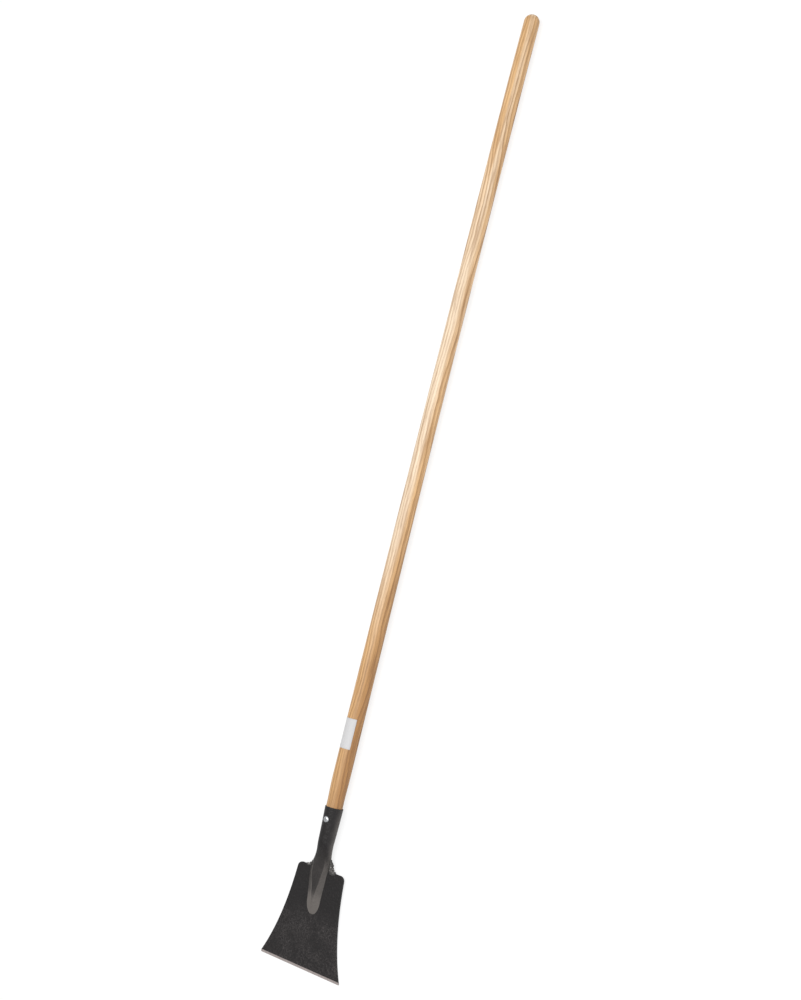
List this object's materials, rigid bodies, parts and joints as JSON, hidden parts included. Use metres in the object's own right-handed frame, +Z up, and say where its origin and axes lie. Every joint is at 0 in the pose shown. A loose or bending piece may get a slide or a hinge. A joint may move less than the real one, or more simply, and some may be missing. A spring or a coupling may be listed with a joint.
{
  "type": "slug chopper",
  "caption": "Long-handled slug chopper: a flat flared steel blade with a straight ground edge, welded to a tapered socket that holds a long round ash pole.",
  "frame": {"origin": "centre of the bounding box's length and width, at the level of its underside: the floor that the tool lies on, on its back", "axes": "+X runs along the tool from the cutting edge to the grip; +Z is up, out of the front of the blade and socket; +Y is the tool's left side as seen from the grip with the front up"},
  "size_m": [1.5898, 0.1552, 0.0322],
  "materials": {
    "ash_wood": "sanded, thinly varnished",
    "black_paint": "black paint over hammered steel, semi-gloss; the cutting edge is ground bare",
    "weld_metal": "rippled weld, thinly painted black",
    "zinc_plate": "bright zinc plate",
    "label_paper": "blank white coated paper, matt"
  },
  "bodies": {
    "root": {"handle": "ash_wood", "socket": "black_paint", "blade": "black_paint", "weld_right": "weld_metal", "weld_left": "weld_metal", "weld_back": "weld_metal", "fixing_screw": "zinc_plate", "paper_label": "label_paper"}
  },
  "joints": []
}
